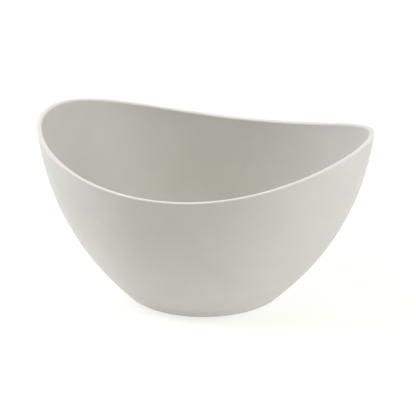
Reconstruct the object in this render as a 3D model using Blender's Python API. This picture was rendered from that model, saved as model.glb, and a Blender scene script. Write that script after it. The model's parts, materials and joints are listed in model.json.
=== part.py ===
"""Deep oval serving bowl with a saddle-shaped rim, moulded in one piece.

The foot is round and the rim is oval. The rim is high at the two ends and low
at the middle of the two long sides, and the wall closes up to it in one even
curve. Metres, +Z up, +X towards one high end. The origin is on the table
under the centre of the foot.
"""

from math import atan2, copysign, cos, pi, radians, sin

import bmesh
import bpy

# Overall size.
LENGTH = 0.270          # across the two high ends of the rim
WIDTH = 0.2216          # across the two low sides of the rim
END_HEIGHT = 0.1392     # the rim above the table at the ends
SIDE_HEIGHT = 0.1114    # the rim above the table at the middle of each side

# The rim's outline: 2 is a true ellipse, and more is squarer.
OUTLINE_POWER = 2.05

# The wall's section, for each of its two sides. It is bowed, so that it leaves the
# foot low and stands upright at the rim. A flare of more than 1 rounds the corner
# at the floor, and the swell fills the wall out low down.
WALL = 0.0042           # thickness at the rim
OUTER_BOW, OUTER_FLARE, OUTER_SWELL = 1.913, 1.0, 0.188
INNER_BOW, INNER_FLARE, INNER_SWELL = 1.683, 1.283, 0.065

# The foot and the floor.
FOOT_RADIUS = 0.0641
FOOT_WIDTH = 0.0045     # the ring that the bowl stands on
RECESS = 0.0012         # depth of the hollow inside the ring
RECESS_DRAFT = 0.0005   # the hollow's side leans in by this much
FLOOR_RADIUS = 0.0590   # the flat part of the inside
FLOOR_HEIGHT = 0.0054   # top of the floor above the table

# Rounding of the edges.
RIM_ROUND_OUTSIDE = 0.0007
RIM_ROUND_INSIDE = 0.0018
FOOT_ROUND = 0.0008

# Fineness of the mesh.
TURN_STEPS = 80
WALL_STEPS = 13
STEP_CROWDING = 1.35    # more than 1 puts the steps closer together near the foot
ROUND_STEPS = 3
SHARP_ANGLE = radians(40)

# Which surface a point belongs to.
FLAT, OUTSIDE, INSIDE = 0, 1, 2

MERGE_DISTANCE = 1e-6

BOWL_COLOUR = (0.64, 0.64, 0.60, 1.0)
BOWL_ROUGHNESS = 0.6


def signed_power(value, power):
    """Raise the size of a value to a power and keep its sign."""
    return copysign(abs(value) ** power, value)


def rim_outline(angle):
    """Plan position of the rim's outer edge."""
    reach = 2 / OUTLINE_POWER
    along = signed_power(cos(angle), reach) * LENGTH / 2
    across = signed_power(sin(angle), reach) * WIDTH / 2
    return along, across


def rim_normal(angle):
    """Unit vector in plan, square to the rim's outline and pointing out."""
    along, across = rim_outline(angle)
    slope_along = signed_power(2 * along / LENGTH, OUTLINE_POWER - 1) / LENGTH
    slope_across = signed_power(2 * across / WIDTH, OUTLINE_POWER - 1) / WIDTH
    size = (slope_along ** 2 + slope_across ** 2) ** 0.5
    return slope_along / size, slope_across / size


def rim_height(angle):
    """Height of the rim's outer edge, high at the ends and low at the sides."""
    return SIDE_HEIGHT + (END_HEIGHT - SIDE_HEIGHT) * cos(angle) ** 2


def bowed(share, bow, flare, swell):
    """How far out the wall is, 0 to 1, at a share of its height."""
    even = (1 - (1 - share) ** bow) ** (1 / flare)
    return even + swell * share * (1 - share) * (1 - 2 * share)


def outside_point(angle, share):
    """A point on the outer wall, from the foot at 0 to the rim at 1."""
    out = bowed(share, OUTER_BOW, OUTER_FLARE, OUTER_SWELL)
    along, across = rim_outline(angle)
    x = FOOT_RADIUS * cos(angle) * (1 - out) + along * out
    y = FOOT_RADIUS * sin(angle) * (1 - out) + across * out
    return x, y, rim_height(angle) * share


def inside_point(angle, share):
    """A point on the inner wall, from the floor at 0 to the rim at 1."""
    out = bowed(share, INNER_BOW, INNER_FLARE, INNER_SWELL)
    along, across = rim_outline(angle)
    normal_x, normal_y = rim_normal(angle)
    x = FLOOR_RADIUS * cos(angle) * (1 - out) + (along - WALL * normal_x) * out
    y = FLOOR_RADIUS * sin(angle) * (1 - out) + (across - WALL * normal_y) * out
    return x, y, FLOOR_HEIGHT + (rim_height(angle) - FLOOR_HEIGHT) * share


def wall_shares():
    """Shares of the wall's height at which the mesh has a ring."""
    return [(step / WALL_STEPS) ** STEP_CROWDING for step in range(WALL_STEPS + 1)]


def add_profile(bm, surface, share):
    """Add the bowl's section at the +X end, from the hollow round to the floor."""
    ring_inside = FOOT_RADIUS - FOOT_WIDTH
    places = [(FLAT, 0.0, (ring_inside - RECESS_DRAFT, 0.0, RECESS))]
    places.append((FLAT, 0.0, (ring_inside, 0.0, 0.0)))
    for height in wall_shares():
        places.append((OUTSIDE, height, outside_point(0.0, height)))
    for height in reversed(wall_shares()):
        places.append((INSIDE, height, inside_point(0.0, height)))
    corners = []
    for side, height, place in places:
        corner = bm.verts.new(place)
        corner[surface] = side
        corner[share] = height
        corners.append(corner)
    for first, second in zip(corners, corners[1:]):
        bm.edges.new((first, second))


def turn_round(bm):
    """Turn the section about Z, and close the hollow and the floor with flat caps."""
    bmesh.ops.spin(
        bm, geom=bm.verts[:] + bm.edges[:], cent=(0, 0, 0), axis=(0, 0, 1),
        angle=2 * pi, steps=TURN_STEPS, use_merge=True)
    bmesh.ops.remove_doubles(bm, verts=bm.verts, dist=MERGE_DISTANCE)
    bmesh.ops.holes_fill(bm, edges=bm.edges, sides=TURN_STEPS)


def make_oval(bm, surface, share):
    """Carry each point of the round turning out to the oval, saddled wall."""
    for vert in bm.verts:
        angle = atan2(vert.co.y, vert.co.x)
        if vert[surface] == OUTSIDE:
            vert.co = outside_point(angle, vert[share])
        elif vert[surface] == INSIDE:
            vert.co = inside_point(angle, vert[share])


def ring_of_edges(bm, surface, share, side, height):
    """The edges that run round one surface at one share of its height."""
    def belongs(vert):
        return vert[surface] == side and abs(vert[share] - height) < MERGE_DISTANCE
    return [edge for edge in bm.edges if all(belongs(vert) for vert in edge.verts)]


def round_ring(bm, edges, width):
    """Round a ring of edges."""
    bmesh.ops.bevel(
        bm, geom=edges, offset=width, offset_type="OFFSET", affect="EDGES",
        segments=ROUND_STEPS, profile=0.5, material=-1)


def bowl_mesh():
    """The bowl's whole closed shape, with its rim and foot rounded."""
    bm = bmesh.new()
    surface = bm.verts.layers.int.new("surface")
    share = bm.verts.layers.float.new("share")
    add_profile(bm, surface, share)
    turn_round(bm)
    make_oval(bm, surface, share)
    bmesh.ops.recalc_face_normals(bm, faces=bm.faces)
    round_ring(bm, ring_of_edges(bm, surface, share, OUTSIDE, 1.0), RIM_ROUND_OUTSIDE)
    round_ring(bm, ring_of_edges(bm, surface, share, INSIDE, 1.0), RIM_ROUND_INSIDE)
    round_ring(bm, ring_of_edges(bm, surface, share, OUTSIDE, 0.0), FOOT_ROUND)
    mesh = bpy.data.meshes.new("bowl")
    bm.to_mesh(mesh)
    bm.free()
    mesh.shade_smooth()
    mesh.set_sharp_from_angle(angle=SHARP_ANGLE)
    return mesh


def moulded_plastic():
    """Matt, warm off-white moulded plastic."""
    material = bpy.data.materials.new("moulded_plastic")
    material.use_nodes = True
    shader = material.node_tree.nodes["Principled BSDF"]
    shader.inputs["Base Color"].default_value = BOWL_COLOUR
    shader.inputs["Roughness"].default_value = BOWL_ROUGHNESS
    shader.inputs["Metallic"].default_value = 0.0
    return material


def make_bowl():
    """The bowl, standing on the table."""
    mesh = bowl_mesh()
    mesh.materials.append(moulded_plastic())
    bowl = bpy.data.objects.new("bowl", mesh)
    bpy.context.collection.objects.link(bowl)
    return bowl


for old in list(bpy.data.objects):
    bpy.data.objects.remove(old, do_unlink=True)

make_bowl()
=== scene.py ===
"""The oval serving bowl as it leaves the mould: matt off-white, on a pale sweep.

The bowl is turned round first and then carried out to its oval, saddled wall.
Metres, +Z up, +X towards the bowl's near high end. Every size comes from the
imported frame's box or is a share of it.
"""

import json
from math import atan2, copysign, cos, hypot, pi, radians, sin

import bmesh
import bpy
from mathutils import Matrix, Vector


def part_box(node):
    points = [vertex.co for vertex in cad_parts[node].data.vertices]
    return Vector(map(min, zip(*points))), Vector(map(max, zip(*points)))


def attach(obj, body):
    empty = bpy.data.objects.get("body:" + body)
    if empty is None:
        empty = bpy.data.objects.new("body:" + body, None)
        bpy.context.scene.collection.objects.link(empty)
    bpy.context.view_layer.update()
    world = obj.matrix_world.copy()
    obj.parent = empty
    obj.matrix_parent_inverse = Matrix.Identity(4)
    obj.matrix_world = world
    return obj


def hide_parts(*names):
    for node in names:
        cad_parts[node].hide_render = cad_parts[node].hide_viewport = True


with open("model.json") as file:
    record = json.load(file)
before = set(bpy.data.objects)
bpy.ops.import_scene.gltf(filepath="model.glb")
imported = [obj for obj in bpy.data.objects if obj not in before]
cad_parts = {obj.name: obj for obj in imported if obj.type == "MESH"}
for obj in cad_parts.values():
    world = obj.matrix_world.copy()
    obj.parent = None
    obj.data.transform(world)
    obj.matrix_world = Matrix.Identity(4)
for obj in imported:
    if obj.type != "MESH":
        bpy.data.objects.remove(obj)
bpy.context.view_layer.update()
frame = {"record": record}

MILLIMETRE = 0.001
HAIR = 0.01 * MILLIMETRE            # keeps the finer mesh inside the plain solid's box

# ---- The bowl's size, from the frame ----

LOW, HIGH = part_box("bowl")
END_REACH = HIGH.x              # the rim's outer edge at the high ends
SIDE_REACH = HIGH.y             # and at the low sides
END_HEIGHT = HIGH.z - HAIR
SIDE_HEIGHT = 0.800 * END_HEIGHT
FOOT_RADIUS = 0.475 * END_REACH
FLOOR_HEIGHT = frame["record"]["mounts"][1]["pos_m"][2]

# The rim's outline: 2 is a true ellipse, and more is squarer.
OUTLINE_POWER = 2.05

# The wall's section, for each of its two sides. It is bowed, so that it leaves the
# foot low and stands upright at the rim. A flare of more than 1 rounds the corner
# at the floor, and the swell fills the wall out low down.
OUTER_BOW, OUTER_FLARE, OUTER_SWELL = 1.913, 1.0, 0.188
INNER_BOW, INNER_FLARE, INNER_SWELL = 1.683, 1.283, 0.065

WALL = 4.2 * MILLIMETRE
RIM_ROUND_OUTSIDE = 0.7 * MILLIMETRE
RIM_ROUND_INSIDE = 1.8 * MILLIMETRE
FLOOR_RADIUS = 0.92 * FOOT_RADIUS
FOOT_WIDTH = 4.5 * MILLIMETRE
FOOT_ROUND = 0.8 * MILLIMETRE
RECESS = 1.2 * MILLIMETRE
RECESS_DRAFT = 0.5 * MILLIMETRE

TURN_STEPS = 240
WALL_STEPS = 72
STEP_CROWDING = 1.35
ROUND_STEPS = 5

# Which surface a point belongs to, and the mesh's small distances.
FLAT, OUTSIDE, INSIDE = 0, 1, 2
MERGE_DISTANCE = 1e-6
SHARP_ANGLE = radians(50)


def signed_power(value, power):
    """Raise the size of a value to a power and keep its sign."""
    return copysign(abs(value) ** power, value)


def rim_outline(angle):
    """Plan position of the rim's outer edge."""
    reach = 2 / OUTLINE_POWER
    return (signed_power(cos(angle), reach) * END_REACH,
            signed_power(sin(angle), reach) * SIDE_REACH)


def rim_normal(angle):
    """Unit vector in plan, square to the rim's outline and pointing out."""
    along, across = rim_outline(angle)
    slope_along = signed_power(along / END_REACH, OUTLINE_POWER - 1) / END_REACH
    slope_across = signed_power(across / SIDE_REACH, OUTLINE_POWER - 1) / SIDE_REACH
    size = hypot(slope_along, slope_across)
    return slope_along / size, slope_across / size


def rim_height(angle):
    """Height of the rim's outer edge, high at the ends and low at the sides."""
    return SIDE_HEIGHT + (END_HEIGHT - SIDE_HEIGHT) * cos(angle) ** 2


def bowed(share, bow, flare, swell):
    """How far out the wall is, 0 to 1, at a share of its height."""
    even = (1 - (1 - share) ** bow) ** (1 / flare)
    return even + swell * share * (1 - share) * (1 - 2 * share)


def outside_point(angle, share):
    """A point on the outer wall, from the foot at 0 to the rim at 1."""
    out = bowed(share, OUTER_BOW, OUTER_FLARE, OUTER_SWELL)
    along, across = rim_outline(angle)
    return (FOOT_RADIUS * cos(angle) * (1 - out) + along * out,
            FOOT_RADIUS * sin(angle) * (1 - out) + across * out,
            rim_height(angle) * share)


def inside_point(angle, share):
    """A point on the inner wall, from the floor at 0 to the rim at 1."""
    out = bowed(share, INNER_BOW, INNER_FLARE, INNER_SWELL)
    along, across = rim_outline(angle)
    normal_x, normal_y = rim_normal(angle)
    return (FLOOR_RADIUS * cos(angle) * (1 - out) + (along - WALL * normal_x) * out,
            FLOOR_RADIUS * sin(angle) * (1 - out) + (across - WALL * normal_y) * out,
            FLOOR_HEIGHT + (rim_height(angle) - FLOOR_HEIGHT) * share)


def draw_section(bm, surface, share):
    """Draw the bowl's section at its +X end, from the hollow round to the floor."""
    ring_inside = FOOT_RADIUS - FOOT_WIDTH
    shares = [(step / WALL_STEPS) ** STEP_CROWDING for step in range(WALL_STEPS + 1)]
    places = [(FLAT, 0.0, (ring_inside - RECESS_DRAFT, 0.0, RECESS))]
    places.append((FLAT, 0.0, (ring_inside, 0.0, 0.0)))
    places += [(OUTSIDE, height, outside_point(0.0, height)) for height in shares]
    places += [(INSIDE, height, inside_point(0.0, height)) for height in reversed(shares)]
    corners = []
    for side, height, place in places:
        corner = bm.verts.new(place)
        corner[surface] = side
        corner[share] = height
        corners.append(corner)
    for first, second in zip(corners, corners[1:]):
        bm.edges.new((first, second))


def edges_at(bm, surface, share, side, height):
    """The ring of edges that runs round one surface at one share of its height."""
    def belongs(vert):
        return vert[surface] == side and abs(vert[share] - height) < MERGE_DISTANCE
    return [edge for edge in bm.edges if all(belongs(vert) for vert in edge.verts)]


def round_edges(bm, edges, width):
    """Round a ring of edges."""
    bmesh.ops.bevel(
        bm, geom=edges, offset=width, offset_type="OFFSET", affect="EDGES",
        segments=ROUND_STEPS, profile=0.5, material=-1)


def make_bowl_mesh():
    """Turn the section, close its two flats, make it oval and round its edges."""
    bm = bmesh.new()
    surface = bm.verts.layers.int.new("surface")
    share = bm.verts.layers.float.new("share")
    draw_section(bm, surface, share)
    bmesh.ops.spin(
        bm, geom=bm.verts[:] + bm.edges[:], cent=(0, 0, 0), axis=(0, 0, 1),
        angle=2 * pi, steps=TURN_STEPS, use_merge=True)
    bmesh.ops.remove_doubles(bm, verts=bm.verts, dist=MERGE_DISTANCE)
    bmesh.ops.holes_fill(bm, edges=bm.edges, sides=TURN_STEPS)
    for vert in bm.verts:
        angle = atan2(vert.co.y, vert.co.x)
        if vert[surface] == OUTSIDE:
            vert.co = outside_point(angle, vert[share])
        elif vert[surface] == INSIDE:
            vert.co = inside_point(angle, vert[share])
    bmesh.ops.recalc_face_normals(bm, faces=bm.faces)
    round_edges(bm, edges_at(bm, surface, share, OUTSIDE, 1.0), RIM_ROUND_OUTSIDE)
    round_edges(bm, edges_at(bm, surface, share, INSIDE, 1.0), RIM_ROUND_INSIDE)
    round_edges(bm, edges_at(bm, surface, share, OUTSIDE, 0.0), FOOT_ROUND)
    mesh = bpy.data.meshes.new("oval_bowl")
    bm.to_mesh(mesh)
    bm.free()
    mesh.shade_smooth()
    mesh.set_sharp_from_angle(angle=SHARP_ANGLE)
    return mesh


# ---- Materials ----

# The sweep under and round the bowl: how far it reaches, how high its wall is, how
# round its corner is, and its colour.
SWEEP_REACH = 6.0
SWEEP_HEIGHT = 1.6
SWEEP_ROUND = 1.2
SWEEP_STEPS = 96
SWEEP_ROUND_STEPS = 12
SWEEP_GRAIN = 0.9 * MILLIMETRE
SWEEP_COLOUR = (0.50, 0.50, 0.485, 1.0)
SWEEP_PALE = (0.53, 0.53, 0.515, 1.0)
SWEEP_LIGHT = (1.0, 1.0, 0.97, 1.0)
SWEEP_DULLNESS = 0.9
SWEEP_SPECULAR = 0.2

# The sweep is lit through from behind: a little more round the bowl, where the
# bowl shades it, and less far out. Distances are from the bowl's upright axis.
GLOW = 0.47
CLOSE_GLOW = 0.12               # more than that, close in
CLOSE_GLOW_EDGE = 0.07, 0.26    # where it starts to fade, and where it is gone
FAR_GLOW = 0.13
FAR_GLOW_EDGE = 1.3, 2.2        # where it starts to fade, and where it is this low

# Sizes of the moulding's surface detail, and how high it stands.
GRAIN_SIZE = 0.7 * MILLIMETRE
GRAIN_HEIGHT = 0.008 * MILLIMETRE
RIPPLE_SIZE = 5.0 * MILLIMETRE      # the faint waviness of a moulded wall
RIPPLE_HEIGHT = 0.012 * MILLIMETRE
CLOUD_SIZE = 40.0 * MILLIMETRE      # soft patches where the filler is denser
FLECK_SIZE = 1.6 * MILLIMETRE       # specks of plant fibre in the moulding
SHEEN_SIZE = 18.0 * MILLIMETRE      # patches that handling has polished

# How much finer detail a noise has, and how strong that detail is.
SOFT, FINE, FINEST = 2.0, 3.0, 4.0
NOISE_ROUGHNESS = 0.55

# The part of a noise's range that most of it lies in, and the part few spots reach.
COMMON = 0.35, 0.65
RARE = 0.64, 0.74
FLECK_SHARE = 0.5                   # how strongly a fleck shows at most

# How matt the moulding is, from its most polished patches to its dullest.
SATIN, MATT = 0.50, 0.62
WORN_EDGE = 0.45                    # the rim, rubbed smooth

# Where the rim's polish and its painted highlight start and are full, as shares of the wall's
# height.
RIM_POLISH_AND_PAINTED_HIGHLIGHT = 0.988, 0.999
# Where the foot's scuffing is full and ends, above the table.
FOOT_WEAR = 0.2 * MILLIMETRE, 1.6 * MILLIMETRE

MOULDING = (0.536, 0.533, 0.490, 1.0)
MOULDING_PALE = (0.557, 0.554, 0.510, 1.0)
FIBRE = (0.470, 0.450, 0.385, 1.0)
# painted highlight: the rim's top is painted paler than the moulding, so that it looks lit
RIM_PAINTED_HIGHLIGHT = (0.640, 0.625, 0.580, 1.0)
SCUFFED = (0.510, 0.500, 0.450, 1.0)


def new_material(name):
    """A material with its nodes ready."""
    material = bpy.data.materials.new(name)
    material.use_nodes = True
    return material


def add_node(material, kind, values=None, **settings):
    """Add a node with its settings, and the values of its unlinked inputs."""
    node = material.node_tree.nodes.new(kind)
    for name, value in settings.items():
        setattr(node, name, value)
    for name, value in (values or {}).items():
        node.inputs[name].default_value = value
    return node


def join(material, source, target):
    """Link an output to an input."""
    material.node_tree.links.new(source, target)


def noise(material, place, size, detail=SOFT):
    """Soft noise with features of one size, as a socket from 0 to 1."""
    node = add_node(
        material, "ShaderNodeTexNoise",
        {"Scale": 1 / size, "Detail": detail, "Roughness": NOISE_ROUGHNESS})
    join(material, place, node.inputs["Vector"])
    return node.outputs["Fac"]


def spread(material, source, low, high, least=0.0, most=1.0):
    """Carry a value's range from low to high over to another range, and clamp it."""
    node = add_node(
        material, "ShaderNodeMapRange",
        {"From Min": low, "From Max": high, "To Min": least, "To Max": most})
    join(material, source, node.inputs["Value"])
    return node.outputs["Result"]


def product(material, first, second):
    """Multiply two values."""
    node = add_node(material, "ShaderNodeMath", operation="MULTIPLY")
    join(material, first, node.inputs[0])
    join(material, second, node.inputs[1])
    return node.outputs["Value"]


def total(material, first, second):
    """Add two values."""
    node = add_node(material, "ShaderNodeMath", operation="ADD")
    join(material, first, node.inputs[0])
    join(material, second, node.inputs[1])
    return node.outputs["Value"]


def tint(material, colour, other, share):
    """Mix another colour over a colour by a share; either may be a socket."""
    node = add_node(material, "ShaderNodeMix", data_type="RGBA")
    base, over = node.inputs[6], node.inputs[7]
    if isinstance(colour, tuple):
        base.default_value = colour
    else:
        join(material, colour, base)
    over.default_value = other
    join(material, share, node.inputs["Factor"])
    return node.outputs[2]


def raise_surface(material, height, distance, under=None):
    """A bump of one height, on top of another bump."""
    node = add_node(material, "ShaderNodeBump", {"Strength": 1.0, "Distance": distance})
    join(material, height, node.inputs["Height"])
    if under:
        join(material, under, node.inputs["Normal"])
    return node.outputs["Normal"]


def matt_moulding():
    """Matt off-white moulding: fine grain, fibre specks, a rim polished smooth and painted
    paler as a highlight, a scuffed foot.
    """
    material = new_material("matt_moulding")
    shader = material.node_tree.nodes["Principled BSDF"]
    place = add_node(material, "ShaderNodeTexCoord").outputs["Object"]
    grain = noise(material, place, GRAIN_SIZE, FINE)
    ripple = noise(material, place, RIPPLE_SIZE)
    cloud = noise(material, place, CLOUD_SIZE)
    speckle = noise(material, place, FLECK_SIZE)
    fleck = spread(material, speckle, *RARE, 0.0, FLECK_SHARE)
    sheen = noise(material, place, SHEEN_SIZE, FINE)

    share = add_node(material, "ShaderNodeAttribute", attribute_name="share")
    # the rim's band: it is polished smoother, and it also carries the painted highlight
    rim_polish_and_painted_highlight = spread(material, share.outputs["Fac"], *RIM_POLISH_AND_PAINTED_HIGHLIGHT)
    apart = add_node(material, "ShaderNodeSeparateXYZ")
    join(material, place, apart.inputs["Vector"])
    low = spread(material, apart.outputs["Z"], *FOOT_WEAR, 1.0, 0.0)
    scuffed = product(material, low, spread(material, ripple, *COMMON))

    paler = spread(material, cloud, *COMMON)
    colour = tint(material, MOULDING, MOULDING_PALE, paler)
    colour = tint(material, colour, FIBRE, fleck)
    # painted highlight: the rim is painted paler here; its real polish is in the roughness
    # below
    colour = tint(material, colour, RIM_PAINTED_HIGHLIGHT, rim_polish_and_painted_highlight)
    colour = tint(material, colour, SCUFFED, scuffed)
    join(material, colour, shader.inputs["Base Color"])

    dullness = spread(material, sheen, *COMMON, SATIN, MATT)
    polish = add_node(material, "ShaderNodeMix", {"B": WORN_EDGE})
    join(material, rim_polish_and_painted_highlight, polish.inputs["Factor"])
    join(material, dullness, polish.inputs["A"])
    join(material, polish.outputs["Result"], shader.inputs["Roughness"])

    waviness = raise_surface(material, ripple, RIPPLE_HEIGHT)
    surface = raise_surface(material, grain, GRAIN_HEIGHT, waviness)
    join(material, surface, shader.inputs["Normal"])
    return material


def sweep_white():
    """The pale sweep: warm white, faintly grained, and lit through from behind."""
    material = new_material("sweep_white")
    shader = material.node_tree.nodes["Principled BSDF"]
    place = add_node(material, "ShaderNodeTexCoord").outputs["Object"]
    grain = noise(material, place, SWEEP_GRAIN, FINEST)
    colour = tint(material, SWEEP_COLOUR, SWEEP_PALE, grain)
    join(material, colour, shader.inputs["Base Color"])
    shader.inputs["Roughness"].default_value = SWEEP_DULLNESS
    shader.inputs["Specular IOR Level"].default_value = SWEEP_SPECULAR
    shader.inputs["Emission Color"].default_value = SWEEP_LIGHT
    away = add_node(material, "ShaderNodeVectorMath", operation="LENGTH")
    join(material, place, away.inputs[0])
    wide = spread(material, away.outputs["Value"], *FAR_GLOW_EDGE, GLOW, FAR_GLOW)
    close = spread(material, away.outputs["Value"], *CLOSE_GLOW_EDGE, CLOSE_GLOW, 0.0)
    join(material, total(material, wide, close), shader.inputs["Emission Strength"])
    return material


# ---- Pieces ----

def make_bowl():
    """The bowl, in place of its plain solid."""
    mesh = make_bowl_mesh()
    mesh.materials.append(matt_moulding())
    bowl = bpy.data.objects.new("oval_bowl", mesh)
    bpy.context.scene.collection.objects.link(bowl)
    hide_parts("bowl")
    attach(bowl, "root")
    return bowl


def make_sweep():
    """A wide pale table top that curves up into a low wall all round."""
    bm = bmesh.new()
    bmesh.ops.create_circle(bm, cap_ends=True, segments=SWEEP_STEPS, radius=SWEEP_REACH)
    corner = list(bm.edges)
    wall = bmesh.ops.extrude_edge_only(bm, edges=corner)["geom"]
    top = [part for part in wall if isinstance(part, bmesh.types.BMVert)]
    bmesh.ops.translate(bm, verts=top, vec=(0.0, 0.0, SWEEP_HEIGHT))
    bmesh.ops.bevel(
        bm, geom=corner, offset=SWEEP_ROUND, offset_type="OFFSET", affect="EDGES",
        segments=SWEEP_ROUND_STEPS, profile=0.5, material=-1)
    mesh = bpy.data.meshes.new("pale_sweep")
    bm.to_mesh(mesh)
    bm.free()
    mesh.shade_smooth()
    mesh.materials.append(sweep_white())
    sweep = bpy.data.objects.new("pale_sweep", mesh)
    bpy.context.scene.collection.objects.link(sweep)
    return sweep


# ---- Camera and light ----

CAMERA_TURN = radians(19.04)        # towards the near high end
CAMERA_LIFT = radians(20.53)
CAMERA_DISTANCE = 1.2009
LENS = 128.74                       # millimetres
FILM_WIDTH = 36.0                   # millimetres
CLIP_START = 0.01

# What the camera looks at: a point on the bowl's upright axis, and how far
# right of it and above it in the view.
AIM_HEIGHT = 0.063
AIM_RIGHT = 3.3 * MILLIMETRE
AIM_UP = 3.9 * MILLIMETRE

# What the soft panels face, and their two colours.
LIT_HEIGHT = 0.07
ROOM_LIGHT = 0.0                    # the room itself is dark
COOL_LIGHT = (0.99, 1.0, 1.06)
WARM_LIGHT = (1.08, 0.99, 0.80)


def view_axes(turn, lift):
    """Right, up and back of a camera turned about Z and lifted over the table."""
    right = Vector((cos(turn), sin(turn), 0.0))
    back = Vector((sin(turn) * cos(lift), -cos(turn) * cos(lift), sin(lift)))
    return right, back.cross(right), back


def make_camera():
    """The camera, close in front of the bowl and a little above its rim."""
    right, up, back = view_axes(CAMERA_TURN, CAMERA_LIFT)
    aim = Vector((0.0, 0.0, AIM_HEIGHT)) + AIM_RIGHT * right + AIM_UP * up
    place = aim + CAMERA_DISTANCE * back
    turned = Matrix((right, up, back)).transposed()
    data = bpy.data.cameras.new("camera")
    data.lens = LENS
    data.sensor_width = FILM_WIDTH
    data.clip_start = CLIP_START
    camera = bpy.data.objects.new("camera", data)
    camera.matrix_world = Matrix.Translation(place) @ turned.to_4x4()
    bpy.context.scene.collection.objects.link(camera)
    bpy.context.scene.camera = camera


def soft_panel(name, turn, lift, distance, size, power, colour):
    """A soft panel that faces the bowl, turned and lifted (degrees) from the camera's side."""
    _, _, back = view_axes(CAMERA_TURN + radians(turn), radians(lift))
    data = bpy.data.lights.new(name, "AREA")
    data.shape = "RECTANGLE"
    data.size, data.size_y = size
    data.energy = power
    data.color = colour
    light = bpy.data.objects.new(name, data)
    light.location = Vector((0.0, 0.0, LIT_HEIGHT)) + distance * back
    light.rotation_euler = back.to_track_quat("Z", "Y").to_euler()
    light.visible_camera = False
    bpy.context.scene.collection.objects.link(light)
    return light


# How far off the panels stand, and their sizes.
PANEL_DISTANCE = 1.6
BACK_DISTANCE = 1.8
TALL, WIDE, SMALL, SQUARE = (0.8, 1.5), (3.0, 0.8), (1.0, 0.8), (1.2, 1.2)


def make_studio():
    """A tall soft panel on each side, two behind and two overhead, in a dark room."""
    world = bpy.data.worlds.new("dark_room")
    world.use_nodes = True
    background = world.node_tree.nodes["Background"]
    background.inputs["Color"].default_value = (1.0, 1.0, 1.0, 1.0)
    background.inputs["Strength"].default_value = ROOM_LIGHT
    bpy.context.scene.world = world
    soft_panel("right_panel", 65, 26, PANEL_DISTANCE, TALL, 18.2, COOL_LIGHT)
    soft_panel("left_panel", 265, 26, PANEL_DISTANCE, TALL, 21.2, COOL_LIGHT)
    soft_panel("back_panel", 180, 34, BACK_DISTANCE, WIDE, 14.8, COOL_LIGHT)
    soft_panel("back_right_panel", 145, 14, PANEL_DISTANCE, SMALL, 1.7, COOL_LIGHT)
    soft_panel("top_left_panel", 270, 70, PANEL_DISTANCE, SQUARE, 8.3, COOL_LIGHT)
    soft_panel("top_front_panel", 20, 72, PANEL_DISTANCE, SQUARE, 8.4, WARM_LIGHT)
    bpy.context.scene.view_settings.view_transform = "Standard"


make_bowl()
make_sweep()
make_camera()
make_studio()
